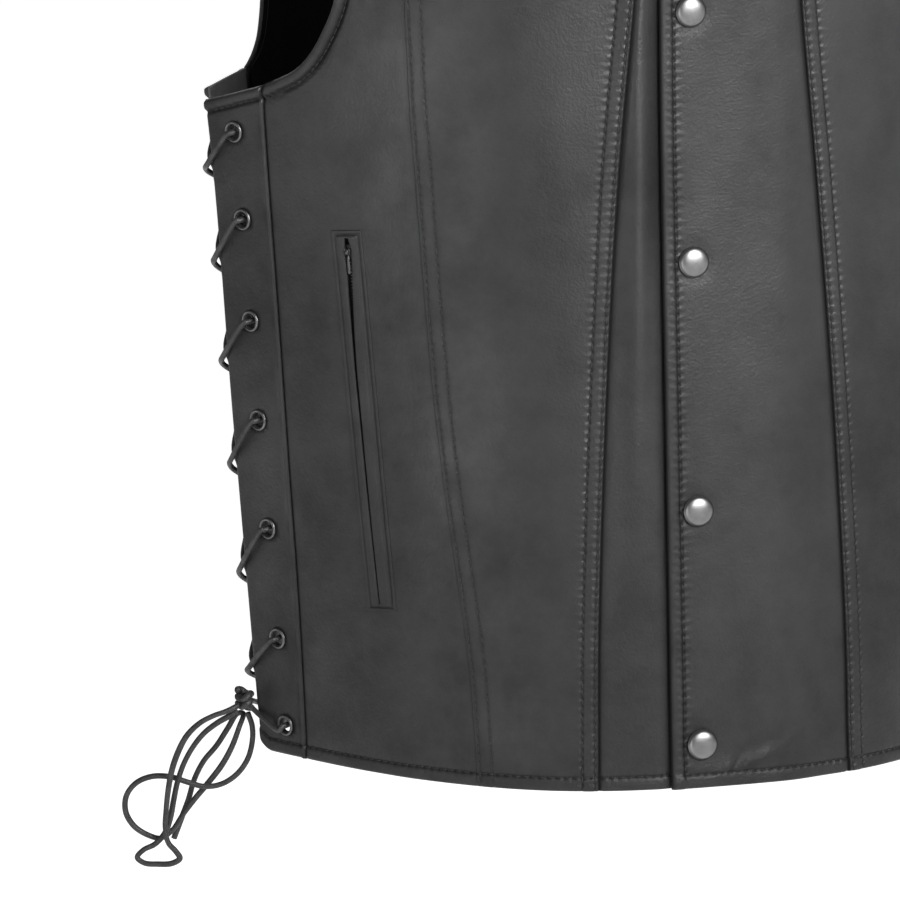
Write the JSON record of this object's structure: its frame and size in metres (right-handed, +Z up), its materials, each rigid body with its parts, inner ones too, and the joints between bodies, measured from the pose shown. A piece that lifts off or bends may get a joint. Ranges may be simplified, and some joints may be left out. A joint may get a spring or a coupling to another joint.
{
  "type": "leather vest",
  "caption": "Black leather vest in its hollow worn shape, with a snapped front, slanted zip pockets, a V neck and lacing through eyelets down both sides.",
  "frame": {"origin": "midway between the shoulders, at the level where the wearer's shoulders carry the vest", "axes": "+Z up, the front faces -Y, the wearer's right side is -X"},
  "size_m": [0.511, 0.2643, 0.7157],
  "materials": {
    "black_leather": "semi-gloss, soft milled grain",
    "lining_satin": "smooth black satin",
    "zip_tape": "woven black tape",
    "lace_leather": "matt waxed leather cord",
    "snap_metal": "antique gunmetal",
    "dark_metal": "blackened metal"
  },
  "bodies": {
    "root": {"front_lace_panel_right": "black_leather", "front_side_panel_right": "black_leather", "front_middle_panel_right": "black_leather", "front_band_right": "black_leather", "front_lace_panel_left": "black_leather", "front_side_panel_left": "black_leather", "front_middle_panel_left": "black_leather", "front_band_left": "black_leather", "back_panel": "black_leather", "back_lining": "lining_satin", "back_lace_panel_right": "black_leather", "back_lace_panel_left": "black_leather", "eyelet_front_right_1": "dark_metal", "eyelet_front_right_2": "dark_metal", "eyelet_front_right_3": "dark_metal", "eyelet_front_right_4": "dark_metal", "eyelet_front_right_5": "dark_metal", "eyelet_front_right_6": "dark_metal", "eyelet_front_right_7": "dark_metal", "eyelet_front_left_1": "dark_metal", "eyelet_front_left_2": "dark_metal", "eyelet_front_left_3": "dark_metal", "eyelet_front_left_4": "dark_metal", "eyelet_front_left_5": "dark_metal", "eyelet_front_left_6": "dark_metal", "eyelet_front_left_7": "dark_metal", "eyelet_back_right_1": "dark_metal", "eyelet_back_right_2": "dark_metal", "eyelet_back_right_3": "dark_metal", "eyelet_back_right_4": "dark_metal", "eyelet_back_right_5": "dark_metal", "eyelet_back_right_6": "dark_metal", "eyelet_back_right_7": "dark_metal", "eyelet_back_left_1": "dark_metal", "eyelet_back_left_2": "dark_metal", "eyelet_back_left_3": "dark_metal", "eyelet_back_left_4": "dark_metal", "eyelet_back_left_5": "dark_metal", "eyelet_back_left_6": "dark_metal", "eyelet_back_left_7": "dark_metal", "snap_cap_1": "snap_metal", "snap_cap_2": "snap_metal", "snap_cap_3": "snap_metal", "snap_cap_4": "snap_metal", "pocket_welt_right": "black_leather", "pocket_welt_left": "black_leather", "pocket_zip_tape_right": "zip_tape", "pocket_zip_tape_left": "zip_tape", "pocket_slider_right": "dark_metal", "pocket_slider_left": "dark_metal", "side_lacing_right": "lace_leather", "side_lacing_left": "lace_leather", "lace_knot_right": "lace_leather", "lace_knot_left": "lace_leather", "lace_loop_right": "lace_leather", "lace_loop_left": "lace_leather", "lace_ends_right": "lace_leather", "lace_ends_left": "lace_leather"},
    "pull_right": {"pocket_pull_right": "dark_metal"},
    "pull_left": {"pocket_pull_left": "dark_metal"}
  },
  "joints": [
    {"name": "pull_right_swing", "type": "hinge", "parent": "root", "child": "pull_right", "pos_m": [-0.16242, -0.07515, -0.3883], "axis": [-0.6864, 0.7233, -0.0757], "range_deg": [0, 150]},
    {"name": "pull_left_swing", "type": "hinge", "parent": "root", "child": "pull_left", "pos_m": [0.16244, -0.07608, -0.3883], "axis": [-0.6603, -0.7473, 0.074], "range_deg": [0, 150]}
  ]
}
